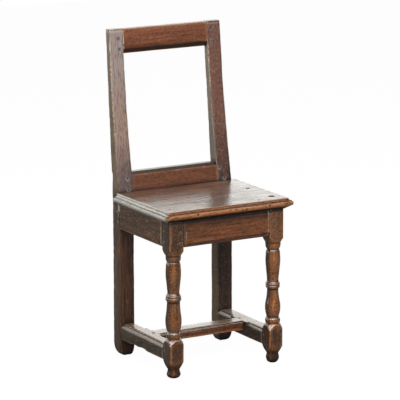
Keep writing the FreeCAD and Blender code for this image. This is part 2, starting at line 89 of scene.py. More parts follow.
# Waxed oak
# Riven and plank-sawn oak, fumed brown by age and waxed for three centuries: long straight grain, open
# pores filled with black wax, a soft sheen that turns to gloss at a low angle, paler where hands, feet and
# cloth rub the arrises, and black in the recesses, where black wax lies that the cloth never reaches and
# shade is painted on it.

GRAIN_AXIS = {"x": 0, "y": 1, "z": 2}
BLACK_WAX_AND_SHADE = "#140d0a"
BROWN_WAX_AND_SHADE = "#241b17"
PALE_WAX = "#a5a297"

# The noise patterns: width across the grain, how many times longer along it, detail, roughness, distortion.
# Streaks are growth rings, a hand long. Pores are 0.3 mm wide on the real wood, drawn 3 mm wide so that they
# show, and their length differs from piece to piece. Planing is what the hand plane left. Clouds of old wax
# are half a hand's breadth across, and chips and rubs are a finger's width apart.
PATTERNS = {
    "streaks": (10 * MM, 16.0, 6.0, 0.68, 0.7),
    "pores": (3.2 * MM, None, 2.0, 0.6, 0.0),
    "planing": (26 * MM, 1.6, 2.0, 0.5, 0.0),
    "clouds": (48 * MM, 1.0, 4.0, 0.6, 0.0),
    "chips": (7 * MM, 1.0, 4.0, 0.7, 0.0),
}
# In a recess, another face stands nearer than this.
RECESS_REACH = 14 * MM
# How far a shade fades outside and inside its ends, a seam inside its ends, and a chipped length inside its.
FADE_OUTSIDE = 8 * MM
FADE_INSIDE = 4 * MM
CHIPPED_FADE = 30 * MM
# A stain or a dry spot is full within this share of its radius.
STAIN_CORE = 0.75
# How full the wax in a seam is, how rough a dry spot is, and what share of its wax an unwaxed place keeps.
SEAM_SHARE = 0.85
DRY_ROUGHNESS = 0.9
WAX_LEFT = 0.2
# What is left of a face's colour where the pattern breaks it up, and of the rubbing on a hardly rubbed arris.
BROKEN_SHARE = 0.45
HARDLY_RUBBED = 0.25
# How much less and more rough than the piece its streaks are.
SHINIER = 0.06
DULLER = 0.08
# The chips move a band of wax up and down within this much of height.
BAND_WAVER = 1.2 * MM
# The moulding on the seat's left end is lower than along its front by END_DROP. It is so within END_LOWERED
# of the end, and level with the front's again from END_LEVEL on.
END_DROP = 4.5 * MM
END_LOWERED = 8 * MM
END_LEVEL = 13 * MM


def where_all(tree, ranges):
    """How far a point keeps to all the ranges, each of them (value, start, end, share at the start, share at
    the end). Their shares multiply."""
    share = None
    for value, start, end, first, last in ranges:
        part = add(tree, "ShaderNodeMapRange", {"From Min": start, "From Max": end, "To Min": first,
                                                "To Max": last}, Value=value)
        share = add(tree, "ShaderNodeMath", {"operation": "MULTIPLY"}, i0=share, i1=part) if share else part
    return share


def waxed_oak(name, grain, dark, light, tone, rub, seed, contrast=1.0, fleck=0.55, glint=0.30,
              pore_length=3.0, relief=1.0, rubbed=0.85, pale="#a59d8e", pale_share=0.35, arris_reach=7.0,
              recess_wax_and_shade=0.9, faces=(), shades=(), bands=(), stains=(), seams=(), chipped=(), rubbed_heights=(),
              roughness=0.42, specular=0.4, wax=0.5, wax_roughness=0.22, wax_ior=1.5, unwaxed=(),
              unwaxed_heights=(), dry_spots=(), end_drop=0.0):
    """Old waxed oak with its grain along one axis. The wood goes from the dark colour to the light one in
    streaks, with clouds of the tone. The contrast sharpens the streaks and the relief raises them. Within
    arris_reach millimetres of an edge the wood is rubbed: by the share rubbed to the rub colour, and in
    patches by the share pale_share to the pale one. Fleck is the share of black pores, glint that of pale
    ones, and recess_wax_and_shade that of black wax with painted shade in the recesses. A pore is
    pore_length times as long as it is wide.
    Roughness and specular are the bare wood's shine, and wax is how much wax lies on it. The seed is the
    piece's place in the noise.

    A range is (start, end): its share is none at the start and all at the end. Heights are in metres.
    faces: (colour, share, ranges of the normal as (axis, start, end), ranges of the height)
    shades: brown wax with soft ends, (low, high, share); on the aprons it is painted shadow under the seat
    bands: black wax with clean ends, (middle height, half height, share), with painted shade in quirks and
    painted shadow under the seat
    stains: (place, radius, colour, share)
    seams: wax in a joint or a scratch, (axis, place, half width, low, high, colour)
    chipped: chips along an arris, (axis, start, end, low, high, colour)
    rubbed_heights: ranges of the height, at whose start an arris is hardly rubbed
    unwaxed, unwaxed_heights: ranges of the normal and of the height where little wax is left
    dry_spots: places without a shine, (place, radius)
    end_drop: how much lower the moulding sits at the seat's left end"""
    material = bpy.data.materials.new(name)
    material.use_nodes = True
    tree = material.node_tree
    tree.nodes.clear()

    place = add(tree, "ShaderNodeTexCoord")
    position = add(tree, "ShaderNodeSeparateXYZ", Vector=place.outputs["Object"])
    normal = add(tree, "ShaderNodeSeparateXYZ", Vector=place.outputs["Normal"])
    height = position.outputs["Z"]
    if end_drop:
        lowered = add(tree, "ShaderNodeMapRange",
                      {"From Min": SEAT_END + END_LOWERED, "From Max": SEAT_END + END_LEVEL,
                       "To Min": end_drop, "To Max": 0.0}, Value=position.outputs["X"])
        height = add(tree, "ShaderNodeMath", {"operation": "ADD"}, i0=height, i1=lowered)

    where = add(tree, "ShaderNodeMapping", {"Location": (seed, seed * 0.7, seed * 1.3)},
                Vector=place.outputs["Object"])
    patterns = {}
    for pattern, (width, length, detail, noise_roughness, distortion) in PATTERNS.items():
        scale = [1.0, 1.0, 1.0]
        scale[GRAIN_AXIS[grain]] = 1.0 / (length or pore_length)
        along = add(tree, "ShaderNodeMapping", {"Scale": scale}, Vector=where)
        patterns[pattern] = add(tree, "ShaderNodeTexNoise",
                                {"Scale": 1.0 / width, "Detail": detail, "Roughness": noise_roughness,
                                 "Distortion": distortion}, Vector=along)
    streaks, pores, planing, clouds, chips = patterns.values()
    # Seen from inside, the solid is open near an outer edge; seen from outside, it is closed in a recess.
    arris = add(tree, "ShaderNodeAmbientOcclusion", {"samples": 8, "inside": True, "only_local": True,
                                                     "Distance": arris_reach * MM}).outputs["AO"]
    recess = add(tree, "ShaderNodeAmbientOcclusion", {"samples": 8, "Distance": RECESS_REACH}).outputs["AO"]

    # The colour, from the bare wood up to the wax, the stains, and the painted shade, shadow and reflection
    # that lie on it. A noise's value lies between about 0.3 and 0.7.
    layers = [(light, (streaks, 0.5 - 0.14 / contrast, 0.5 + 0.14 / contrast, 0.0, 1.0)),
              (tone, (clouds, 0.40, 0.66, 0.0, 0.65))]
    # Short pores would break up a face's colour too finely, so there the streaks do it.
    broken_by = streaks if pore_length < 2.0 else pores
    for colour, share, turns, heights in faces:
        layers.append((colour, (broken_by, 0.36, 0.58, BROKEN_SHARE * share, share),
                       *[(normal.outputs[axis], start, end, 0.0, 1.0) for axis, start, end in turns],
                       *[(height, start, end, 0.0, 1.0) for start, end in heights]))
    layers += [(rub, (pores, 0.58, 0.68, 0.0, glint)),
               (BLACK_WAX_AND_SHADE, (pores, 0.46, 0.36, 0.0, fleck))]
    # Brown wax with soft ends; on the aprons it is the seat's painted shadow, fading down from under it.
    for low, high, share in shades:
        layers.append((BROWN_WAX_AND_SHADE, (height, low - FADE_OUTSIDE, low + FADE_INSIDE, 0.0, share),
                       (height, high + FADE_OUTSIDE, high - FADE_INSIDE, 0.0, 1.0),
                       (streaks, 0.35, 0.60, 1.0, 0.6)))
    rubbing = ((arris, 0.90, 0.66, 0.0, 1.0), (chips, 0.32, 0.48, 0.0, rubbed),
               *[(height, start, end, HARDLY_RUBBED, 1.0) for start, end in rubbed_heights])
    # Rubbed arrises, and then black wax with painted shade in the recesses, where another face stands near.
    layers += [(rub, *rubbing),
               (pale, *rubbing, (clouds, 0.44, 0.54, 0.0, pale_share)),
               (BLACK_WAX_AND_SHADE, (recess, 0.93, 0.52, 0.0, recess_wax_and_shade))]
    # Bands of black wax, with painted shade in the quirks, and painted shadow under the seat.
    wavering = add(tree, "ShaderNodeMath", {"operation": "MULTIPLY_ADD", 1: BAND_WAVER}, i0=chips, i2=height)
    for middle, half, share in bands:
        band = add(tree, "ShaderNodeMath", {"operation": "COMPARE", 1: middle + BAND_WAVER / 2, 2: half},
                   i0=wavering)
        layers.append((BLACK_WAX_AND_SHADE, (band, 0.0, 1.0, 0.0, share)))
    for axis, start, end, low, high, colour in chipped:
        layers.append((colour, (arris, 0.94, 0.80, 0.0, 1.0), (chips, 0.44, 0.54, 0.0, 1.0),
                       (position.outputs[axis], start, end, 0.0, 1.0),
                       (height, low, low + CHIPPED_FADE, 0.0, 1.0),
                       (height, high, high - CHIPPED_FADE, 0.0, 1.0)))
    for axis, middle, half, low, high, colour in seams:
        line = add(tree, "ShaderNodeMath", {"operation": "COMPARE", 1: middle, 2: half},
                   i0=position.outputs[axis])
        layers.append((colour, (line, 0.0, 1.0, 0.0, SEAM_SHARE), (chips, 0.41, 0.52, 0.0, 1.0),
                       (height, low, low + FADE_INSIDE, 0.0, 1.0),
                       (height, high, high - FADE_INSIDE, 0.0, 1.0)))
    for centre, radius, colour, share in stains:
        distance = add(tree, "ShaderNodeVectorMath", {"operation": "DISTANCE", 1: centre},
                       i0=place.outputs["Object"]).outputs["Value"]
        layers.append((colour, (distance, radius, radius * STAIN_CORE, 0.0, share),
                       (chips, 0.38, 0.50, 0.5, 1.0)))

    wood = add(tree, "ShaderNodeRGB").outputs["Color"]
    wood.default_value = linear(dark)
    for colour, *ranges in layers:
        wood = add(tree, "ShaderNodeMix", {"data_type": "RGBA", 7: linear(colour)},
                   i0=where_all(tree, ranges), i6=wood).outputs[2]

    # The surface: a hand-planed unevenness, with the streaks proud and the pores cut in.
    planed = add(tree, "ShaderNodeBump", {"Strength": 0.5, "Distance": 1.0 * MM}, Height=planing)
    raised = add(tree, "ShaderNodeBump", {"Strength": 0.4, "Distance": 0.5 * relief * MM}, Height=streaks,
                 Normal=planed)
    pitted = add(tree, "ShaderNodeBump", {"Strength": 0.5, "Distance": 0.4 * MM}, Height=pores, Normal=raised)
    dull = add(tree, "ShaderNodeMapRange", {"From Min": 0.3, "From Max": 0.7, "To Min": roughness - SHINIER,
                                            "To Max": roughness + DULLER}, Value=streaks)
    for centre, radius in dry_spots:
        distance = add(tree, "ShaderNodeVectorMath", {"operation": "DISTANCE", 1: centre},
                       i0=place.outputs["Object"]).outputs["Value"]
        spot = add(tree, "ShaderNodeMapRange",
                   {"From Min": radius, "From Max": radius * STAIN_CORE, "To Max": DRY_ROUGHNESS},
                   Value=distance)
        dull = add(tree, "ShaderNodeMath", {"operation": "MAXIMUM"}, i0=dull, i1=spot)
    # On upright pieces the wax has filled the streaks, and only the plane's marks show in its shine.
    surface = add(tree, "ShaderNodeBsdfPrincipled",
                  {"IOR": 1.5, "Specular IOR Level": specular, "Coat Weight": wax,
                   "Coat Roughness": wax_roughness, "Coat IOR": wax_ior},
                  Base_Color=wood, Roughness=dull, Normal=pitted,
                  Coat_Normal=planed if grain == "z" else raised)
    if unwaxed or unwaxed_heights:
        bare = where_all(tree, [(normal.outputs[axis], start, end, 0.0, 1.0) for axis, start, end in unwaxed]
                         + [(height, start, end, 0.0, 1.0) for start, end in unwaxed_heights])
        left = add(tree, "ShaderNodeMapRange", {"To Min": wax, "To Max": WAX_LEFT * wax}, Value=bare)
        if unwaxed:
            # What is left lies in streaks and clouds, and not on the dry spots.
            uneven = where_all(tree, ((dull, 0.5, 0.85, 1.0, 0.0), (streaks, 0.38, 0.56, 0.45, 1.0),
                                      (clouds, 0.42, 0.58, 0.7, 1.0)))
            left = add(tree, "ShaderNodeMath", {"operation": "MULTIPLY"}, i0=left, i1=uneven)
        tree.links.new(left.outputs[0], surface.inputs["Coat Weight"])
    add(tree, "ShaderNodeOutputMaterial", Surface=surface)
    return material


def shells_of(mesh):
    """The separate closed shells of a mesh, each a list of its points."""
    unseen = set(mesh.verts)
    shells = []
    while unseen:
        shell = [unseen.pop()]
        for vert in shell:
            for edge in vert.link_edges:
                other = edge.other_vert(vert)
                if other in unseen:
                    unseen.remove(other)
                    shell.append(other)
        shells.append(shell)
    return shells


# How much wider a ring of wax is than its peg.
RING_WIDTH = 1.8 * MM


def peg_rings(colour, share, *node_names):
    """Stains of old wax round the heads of the pegs, a little wider than the pegs. A peg is driven along its
    longest side. Its head is at the low end of that, and at the high end on the chair's right side."""
    rings = []
    for node_name in node_names:
        mesh = bmesh.new()
        mesh.from_mesh(nodes[node_name].data)
        bmesh.ops.remove_doubles(mesh, verts=mesh.verts, dist=SAME_POINT)
        for shell in shells_of(mesh):
            low = [min(vert.co[axis] for vert in shell) for axis in range(3)]
            high = [max(vert.co[axis] for vert in shell) for axis in range(3)]
            sizes = [top - bottom for bottom, top in zip(low, high)]
            driven = sizes.index(max(sizes))
            head = [(bottom + top) / 2.0 for bottom, top in zip(low, high)]
            head[driven] = high[driven] if node_name.endswith("right_pegs") else low[driven]
            radius = sorted(sizes)[1] / 2.0 + RING_WIDTH
            rings.append((head, radius, colour, share))
        mesh.free()
    return sorted(rings)


# Black bands: middle height, half height, share. The first two are where the lathe cut in, and the next five
# are the quirks of mouldings: black wax, with painted shade in the cuts and quirks. The seat's last band is
# painted shade on the underside of its nose, and the last two are the seat's painted shadow on the wood just
# under it.
LEFT_LEG_QUIRKS = ((0.1078, 0.0016, 0.80), (0.1262, 0.0022, 0.92), (0.2068, 0.0026, 0.92),
                   (0.2190, 0.0011, 0.90), (0.2290, 0.0022, 0.90), (0.3156, 0.0020, 0.95),
                   (0.3330, 0.0020, 0.75))
RIGHT_LEG_QUIRKS = ((0.1102, 0.0016, 0.80), (0.1275, 0.0024, 0.92), (0.2045, 0.0026, 0.92),
                    (0.2144, 0.0011, 0.90), (0.2250, 0.0022, 0.90), (0.3126, 0.0022, 0.95),
                    (0.3334, 0.0020, 0.75))
SEAT_QUIRKS_AND_SHADE = ((0.4528, 0.0012, 0.55), (0.4487, 0.0010, 0.80), (0.4290, 0.0052, 0.97))
STRETCHER_QUIRK = (0.0881, 0.0012, 1.0)
MEDIAL_QUIRK = (0.0884, 0.0010, 1.0)
CREST_MOULDING_SHADE = (0.8290, 0.0055, 0.85)
RAIL_MOULDING_SHADE = (0.5025, 0.0040, 0.80)
# Painted shadow of the seat on the tops of the legs and aprons.
SEAT_SHADOW = (0.4285, 0.0090, 0.97)
SEAT_SHADOW_SIDE = (0.4310, 0.0055, 0.97)

# Which way a face points: (axis, start, end) of its normal.
FRONT = ((1, -0.6, -0.95),)
LEFT = ((0, -0.7, -0.95),)
LEVEL = ((2, 0.90, 0.97),)
CHAMFERS = ((2, 0.93, 0.85), (2, 0.45, 0.60))
MOULDED = (2, 0.95, 0.78)
END_GRAIN = ((0, -0.15, -0.35), (1, -0.22, -0.08))
SQUARE_LEFT = ((0, -0.75, -0.97),)
SQUARE_FRONT = ((1, -0.95, -0.99),)
# Heights, as (start, end): a post above the seat, and the two squares of a leg.
ABOVE_SEAT = (0.440, 0.470)
UPPER_SQUARE = ((0.334, 0.350),)
LOWER_SQUARE = ((0.040, 0.054), (0.104, 0.088))

# Knocks along the seat's nose: place, radius and depth. Rubs are wider and shallower.
KNOCKS = tuple(((x, SEAT_NOSE, z), radius * MM, depth * MM) for x, z, radius, depth in (
    (-0.099, 0.443, 5, 2.4), (0.017, 0.444, 4, 2.2), (0.047, 0.441, 4, 2.2), (-0.045, 0.438, 4, 1.8),
    (0.120, 0.444, 5, 1.6)))
RUBS = (((-0.165, SEAT_NOSE, 0.440), 7 * MM, 1.6 * MM), ((0.175, SEAT_NOSE, 0.441), 8 * MM, 1.6 * MM))
# A knock is dark, with a pale chip up and to its left.
CHIP_SHIFT = (-2 * MM, 2.5 * MM)
# The dark, dull wood round two of the seat's pegs: place and radius.
PLUGS = (((0.156, -0.134, SEAT_TOP), 11 * MM), ((0.151, -0.019, SEAT_TOP), 6.5 * MM))
# Specks of pale wax on the left apron: place, radius and share.
APRON_SPECKS = (((FRAME_SIDE - 1.0 * MM, -0.045, 0.408), 3.0 * MM, 0.8),
                ((FRAME_SIDE - 1.0 * MM, -0.080, 0.385), 2.5 * MM, 0.8),
                ((FRAME_SIDE - 1.0 * MM, 0.060, 0.395), 2.5 * MM, 0.7))


def square_faces(upper_share):
    """The flat faces of a leg's squares, darker than the turning: the left side, the upper square's front
    and the lower square's front."""
    return (("#15120d", 0.95, SQUARE_LEFT, ()),
            ("#26150f", upper_share, SQUARE_FRONT, UPPER_SQUARE),
            ("#26150f", 0.95, SQUARE_FRONT, LOWER_SQUARE))


# What the legs, the posts, the side stretchers and the pegs each share. The legs' feet and the stretchers'
# quirks have lost their wax.
TURNED = {
    "fleck": 0.8, "wax": 1.0, "wax_roughness": 0.09, "wax_ior": 1.7, "recess_wax_and_shade": 1.0, "arris_reach": 4.0,
    "rubbed": 1.0, "pore_length": 1.4, "contrast": 0.9, "specular": 0.2, "unwaxed_heights": ((0.044, 0.034),),
}
POST = {"rubbed": 1.0, "arris_reach": 4.0, "rubbed_heights": (ABOVE_SEAT,)}
STRETCHER_BROWNS = ("#261b15", "#6c523c", "#44352a", "#b59478")
STRETCHER = {
    "pale": "#ccc2b4", "pale_share": 0.6, "wax": 0.7, "specular": 0.3, "contrast": 1.8, "wax_roughness": 0.14,
    "arris_reach": 4.5, "rubbed": 0.65, "bands": (STRETCHER_QUIRK,),
    "unwaxed_heights": ((0.0862, 0.0870), (0.0896, 0.0892)),
}
PEG = {"recess_wax_and_shade": 0.4, "rubbed": 0.5, "arris_reach": 2.0}

# The finishes: name, grain, the dark, light, tone and rub colours, seed, and then what differs from plain
# waxed oak.
oak = {
    "post_left": waxed_oak(
        "waxed_oak_left_post", "z", "#38231a", "#744a34", "#563828", "#a8744c", 0.11, contrast=1.8,
        fleck=0.22, glint=0.6, pore_length=14.0, pale="#d8ccb8", pale_share=0.8,
        faces=(("#6c6468", 0.75, FRONT, ((0.440, 0.460),)),
               ("#ae968a", 0.82, FRONT, ((0.505, 0.60),)),
               ("#a8a2a6", 0.50, FRONT, ((0.68, 0.80),)),
               ("#1a1411", 0.80, FRONT, ((0.20, 0.09),)),
               # Painted shadow of the seat on the post's front, just under it.
               ("#1a1411", 0.70, FRONT, ((0.28, 0.35), (0.47, 0.45))),
               ("#44402f", 0.70, LEFT, ()),
               ("#8d7c66", 0.90, LEFT, (ABOVE_SEAT,))),
        seams=((1, POST_FRONT + 4.0 * MM, 3.4 * MM, 0.385, 0.452, "#d8dccf"),),
        chipped=((0, -0.150, -0.155, 0.58, 0.880, "#e4d8c0"),),
        stains=peg_rings(PALE_WAX, 0.4, "lower_back_rail_pegs", "side_apron_left_pegs")
        + peg_rings("#5c626c", 0.8, "crest_rail_pegs"), **POST),
    "post_right": waxed_oak(
        "waxed_oak_right_post", "z", "#22150f", "#503224", "#3a251b", "#a89ca0", 0.47, contrast=1.4,
        fleck=0.15, glint=0.28, pore_length=2.2, pale="#ccb8a0", pale_share=0.9,
        faces=(("#986a5a", 0.60, FRONT, ((0.45, 0.64),)),
               ("#80694c", 0.75, LEFT, ()),
               ("#a89a84", 0.85, LEFT, (ABOVE_SEAT,)),
               ("#74706c", 0.75, LEFT, ((0.470, 0.500), (0.66, 0.56)))),
        chipped=((0, 0.142, 0.138, 0.70, 0.850, "#e0d0bc"),),
        stains=peg_rings(PALE_WAX, 0.4, "lower_back_rail_pegs")
        + peg_rings("#565c66", 0.7, "crest_rail_pegs"), **POST),
    "leg_left": waxed_oak(
        "waxed_oak_left_leg", "z", "#5a361e", "#b0703e", "#7a4a2a", "#d08c54", 0.83,
        faces=square_faces(0.95), bands=(*LEFT_LEG_QUIRKS, SEAT_SHADOW),
        shades=((-0.010, 0.040, 0.96), (0.052, 0.098, 0.2), (0.345, 0.450, 0.2)),
        seams=((0, LEG_INNER - 0.2 * MM, 2.0 * MM, 0.362, 0.440, "#191718"),),
        stains=peg_rings(PALE_WAX, 0.4, "front_apron_pegs", "side_apron_left_pegs"), **TURNED),
    "leg_right": waxed_oak(
        "waxed_oak_right_leg", "z", "#5e3a20", "#b87442", "#824f2e", "#d49058", 1.31,
        faces=square_faces(0.45), bands=(*RIGHT_LEG_QUIRKS, SEAT_SHADOW), shades=((-0.010, 0.038, 0.92),),
        stains=peg_rings(PALE_WAX, 0.4, "front_apron_pegs"), **TURNED),
    "crest": waxed_oak(
        "waxed_oak_crest_rail", "x", "#583020", "#92573a", "#784630", "#b0703f", 1.77, glint=0.45,
        pore_length=2.0, bands=(CREST_MOULDING_SHADE,),
        seams=((0, POST_INNER + 0.2 * MM, 1.4 * MM, 0.822, 0.886, "#c8c0b4"),)),
    "lower_rail": waxed_oak(
        "waxed_oak_lower_back_rail", "x", "#4c2c1c", "#864e2e", "#6a3e28", "#a8683e", 1.93, fleck=0.5,
        bands=(RAIL_MOULDING_SHADE,), seams=((0, LEG_INNER + 1.0 * MM, 2.0 * MM, 0.456, 0.505, "#3c2c26"),)),
    "seat": waxed_oak(
        "polished_oak_seat", "x", "#1e110a", "#84563a", "#4e3422", "#b07a48", 2.29, contrast=1.5, fleck=0.6,
        glint=0.2, relief=3.6, arris_reach=4.5, roughness=0.34, specular=0.25, wax=1.0, wax_roughness=0.10,
        wax_ior=1.6, end_drop=END_DROP, unwaxed=(MOULDED, (0, -0.5, -0.2)), dry_spots=PLUGS,
        faces=(("#c08056", 1.0, (MOULDED,), ()),
               # Painted reflection: the left end's moulding is pale grey where it mirrors the bright wall.
               ("#d0d4c8", 1.0, ((2, 0.98, 0.90), *END_GRAIN), ()),
               ("#b8b4ae", 0.9, END_GRAIN, ((0.4492, 0.4478),)),
               # Painted light: the lower part of the nose is lighter where it turns under into shade.
               ("#b87a50", 0.9, ((1, -0.25, -0.55),), ((0.4465, 0.4430),))),
        bands=SEAT_QUIRKS_AND_SHADE,
        stains=[(place, radius, "#17100d", 1.0) for place, radius in PLUGS]
        + [(place, radius * 0.8, "#1c120c", 0.85) for place, radius, depth in KNOCKS]
        + [((x + CHIP_SHIFT[0], y, z + CHIP_SHIFT[1]), 1.8 * MM, "#e0d8cc", 0.9)
           for (x, y, z), radius, depth in KNOCKS]),
    "apron_front": waxed_oak(
        "waxed_oak_front_apron", "x", "#482a1c", "#905634", "#6a4028", "#b07448", 2.71, contrast=1.4,
        # The brown shade at the top, fading down, is painted shadow of the seat.
        rubbed=0.6, bands=(SEAT_SHADOW,), shades=((0.408, 0.450, 0.7),),
        seams=((0, LEG_INNER + 0.8 * MM, 1.8 * MM, 0.362, 0.440, "#191718"),
               (0, LEG_INNER + 8.5 * MM, 0.8 * MM, 0.358, 0.400, PALE_WAX),
               (0, -LEG_INNER - 5.5 * MM, 1.0 * MM, 0.358, 0.430, PALE_WAX))),
    "apron_side": waxed_oak(
        "waxed_oak_side_aprons", "y", "#241b10", "#784e2e", "#463624", "#b88058", 3.13, contrast=2.4,
        glint=0.6, pale_share=0.7, rubbed=0.5, bands=(SEAT_SHADOW_SIDE,),
        seams=((1, LEG_BACK + 7.0 * MM, 1.3 * MM, 0.360, 0.438, "#d4d8cc"),),
        stains=[(place, radius, PALE_WAX, share) for place, radius, share in APRON_SPECKS]),
    "stretcher_left": waxed_oak(
        "rubbed_oak_left_stretcher", "y", *STRETCHER_BROWNS, 3.59,
        # Paler chamfers and level tops: rubbed wear, with a painted reflection of the bright wall.
        faces=(("#947458", 1.0, CHAMFERS, ()), ("#3a2d1c", 0.75, LEFT, ()), ("#a07c5a", 0.9, LEVEL, ())),
        **STRETCHER),
    "stretcher_right": waxed_oak(
        "rubbed_oak_right_stretcher", "y", *STRETCHER_BROWNS, 3.97,
        # Paler chamfers and level tops: rubbed wear, with a painted reflection of the bright wall.
        faces=(("#a09888", 1.0, CHAMFERS, ()), ("#2c2018", 0.6, LEFT, ()), ("#a8886c", 0.8, LEVEL, ())),
        **STRETCHER),
    "stretcher_medial": waxed_oak(
        "rubbed_oak_medial_stretcher", "x", "#442114", "#a05e3a", "#6a3e28", "#bc8c64", 4.07,
        contrast=1.6, wax=0.9, wax_roughness=0.14, bands=(MEDIAL_QUIRK,),
        # Paler chamfers and level top: rubbed wear, with a painted reflection of the bright wall.
        faces=(("#a8a096", 1.0, CHAMFERS, ()), ("#8c7a60", 0.85, LEVEL, ()))),
    "crest_peg": waxed_oak(
        "bloomed_oak_crest_pegs", "y", "#2c2c30", "#787e88", "#50545c", "#a8a8a8", 5.71, **PEG),
    "peg": waxed_oak("end_grain_oak_pegs", "y", "#2c1f19", "#5c483a", "#40322a", "#9a8a78", 4.51, **PEG),
    "seat_peg": waxed_oak(
        "end_grain_oak_seat_pegs", "x", "#241812", "#3c2a20", "#2c1e18", "#4c382c", 5.03, rubbed=0.3,
        recess_wax_and_shade=0.5, arris_reach=2.0, roughness=0.7, wax=0.1),
}

# Each node's finish. The pegs that are not named here have the plain one.
finishes = {
    "rear_post_left": "post_left",
    "rear_post_right": "post_right",
    "front_leg_left": "leg_left",
    "front_leg_right": "leg_right",
    "crest_rail": "crest",
    "lower_back_rail": "lower_rail",
    "seat_board": "seat",
    "front_apron": "apron_front",
    "rear_apron": "apron_front",
    "side_apron_left": "apron_side",
    "side_apron_right": "apron_side",
    "side_stretcher_left": "stretcher_left",
    "side_stretcher_right": "stretcher_right",
    "medial_stretcher": "stretcher_medial",
    "seat_pegs": "seat_peg",
    "crest_rail_pegs": "crest_peg",
}
for name, node in nodes.items():
    node.data.materials.clear()
    node.data.materials.append(oak[finishes.get(name, "peg")])


# Worn pieces
# The imported solids have crisp arrises. Each but the pegs is replaced by a copy of itself, in the same
# place, with its arrises rounded over, its faces a little uneven, and its edges chipped and dented.

# An edge that is handled: its least length and angle, and the least width of its faces, in round-overs.
LONG_ENOUGH = 12 * MM
SHARP = math.radians(50.0)
WIDE_ENOUGH = 2.5
# Faces that turn by less than FLAT are one flat face, and by less than SMOOTH are shaded as one.
FLAT = math.radians(0.4)
SMOOTH = math.radians(38.0)
# A face that looks at its own piece from no farther than this is the wall of a cavity.
WIDEST_CAVITY = 70 * MM
CLEAR_OF_FACE = 0.05 * MM
# How far apart a face's hollows and a ragged edge's chips are, and how nearly along an axis a normal points
# that is not on an edge.
HOLLOW_PITCH = 70 * MM
CHIP_PITCH = 11 * MM
ON_A_FACE = 0.93
# How proud an edge stands between its chips, as a share of its raggedness.
PROUD_SHARE = 0.2
# Points nearer than this to a plane that cuts the mesh are on it.
ON_THE_PLANE = 0.001 * MM
# At the seat's front corner the end's moulding has this share of its drop, and the rest grows along the run.
CORNER_SHARE = 0.35
CORNER_RUN = 30 * MM


def close_cavities(mesh, height_ranges):
    """Fills the mortises and peg holes, which the tenons and pegs hide, between the given heights."""
    walls = BVHTree.FromBMesh(mesh)
    hidden = []
    for face in mesh.faces:
        centre = face.calc_center_median()
        if any(low < centre.z < high for low, high in height_ranges):
            if walls.ray_cast(centre + face.normal * CLEAR_OF_FACE, face.normal, WIDEST_CAVITY)[0]:
                hidden.append(face)
    bmesh.ops.delete(mesh, geom=hidden, context="FACES")
    for shell in sorted(shells_of(mesh), key=len)[:-1]:
        bmesh.ops.delete(mesh, geom=shell, context="VERTS")
    bmesh.ops.holes_fill(mesh, edges=[edge for edge in mesh.edges if edge.is_boundary], sides=0)


def long_arrises(mesh, round_over):
    """The sharp edges that are long enough to be handled, and stand clear of any narrower step."""
    found = []
    for edge in mesh.edges:
        if len(edge.link_faces) == 2 and edge.calc_length() > LONG_ENOUGH:
            widths = [face.calc_area() / edge.calc_length() for face in edge.link_faces]
            if edge.calc_face_angle() > SHARP and min(widths) > WIDE_ENOUGH * round_over:
                found.append(edge)
    return found


def sliced(mesh, low, high, spacing):
    """Cuts the mesh by planes square to each axis, so that every face has points to move."""
    for axis in range(3):
        normal = Vector([1.0 if i == axis else 0.0 for i in range(3)])
        count = int((high[axis] - low[axis]) / spacing[axis])
        for step in range(1, count + 1):
            point = Vector(low) + normal * ((high[axis] - low[axis]) * step / (count + 1))
            bmesh.ops.bisect_plane(mesh, geom=mesh.verts[:] + mesh.edges[:] + mesh.faces[:],
                                   dist=ON_THE_PLANE, plane_co=point, plane_no=normal)


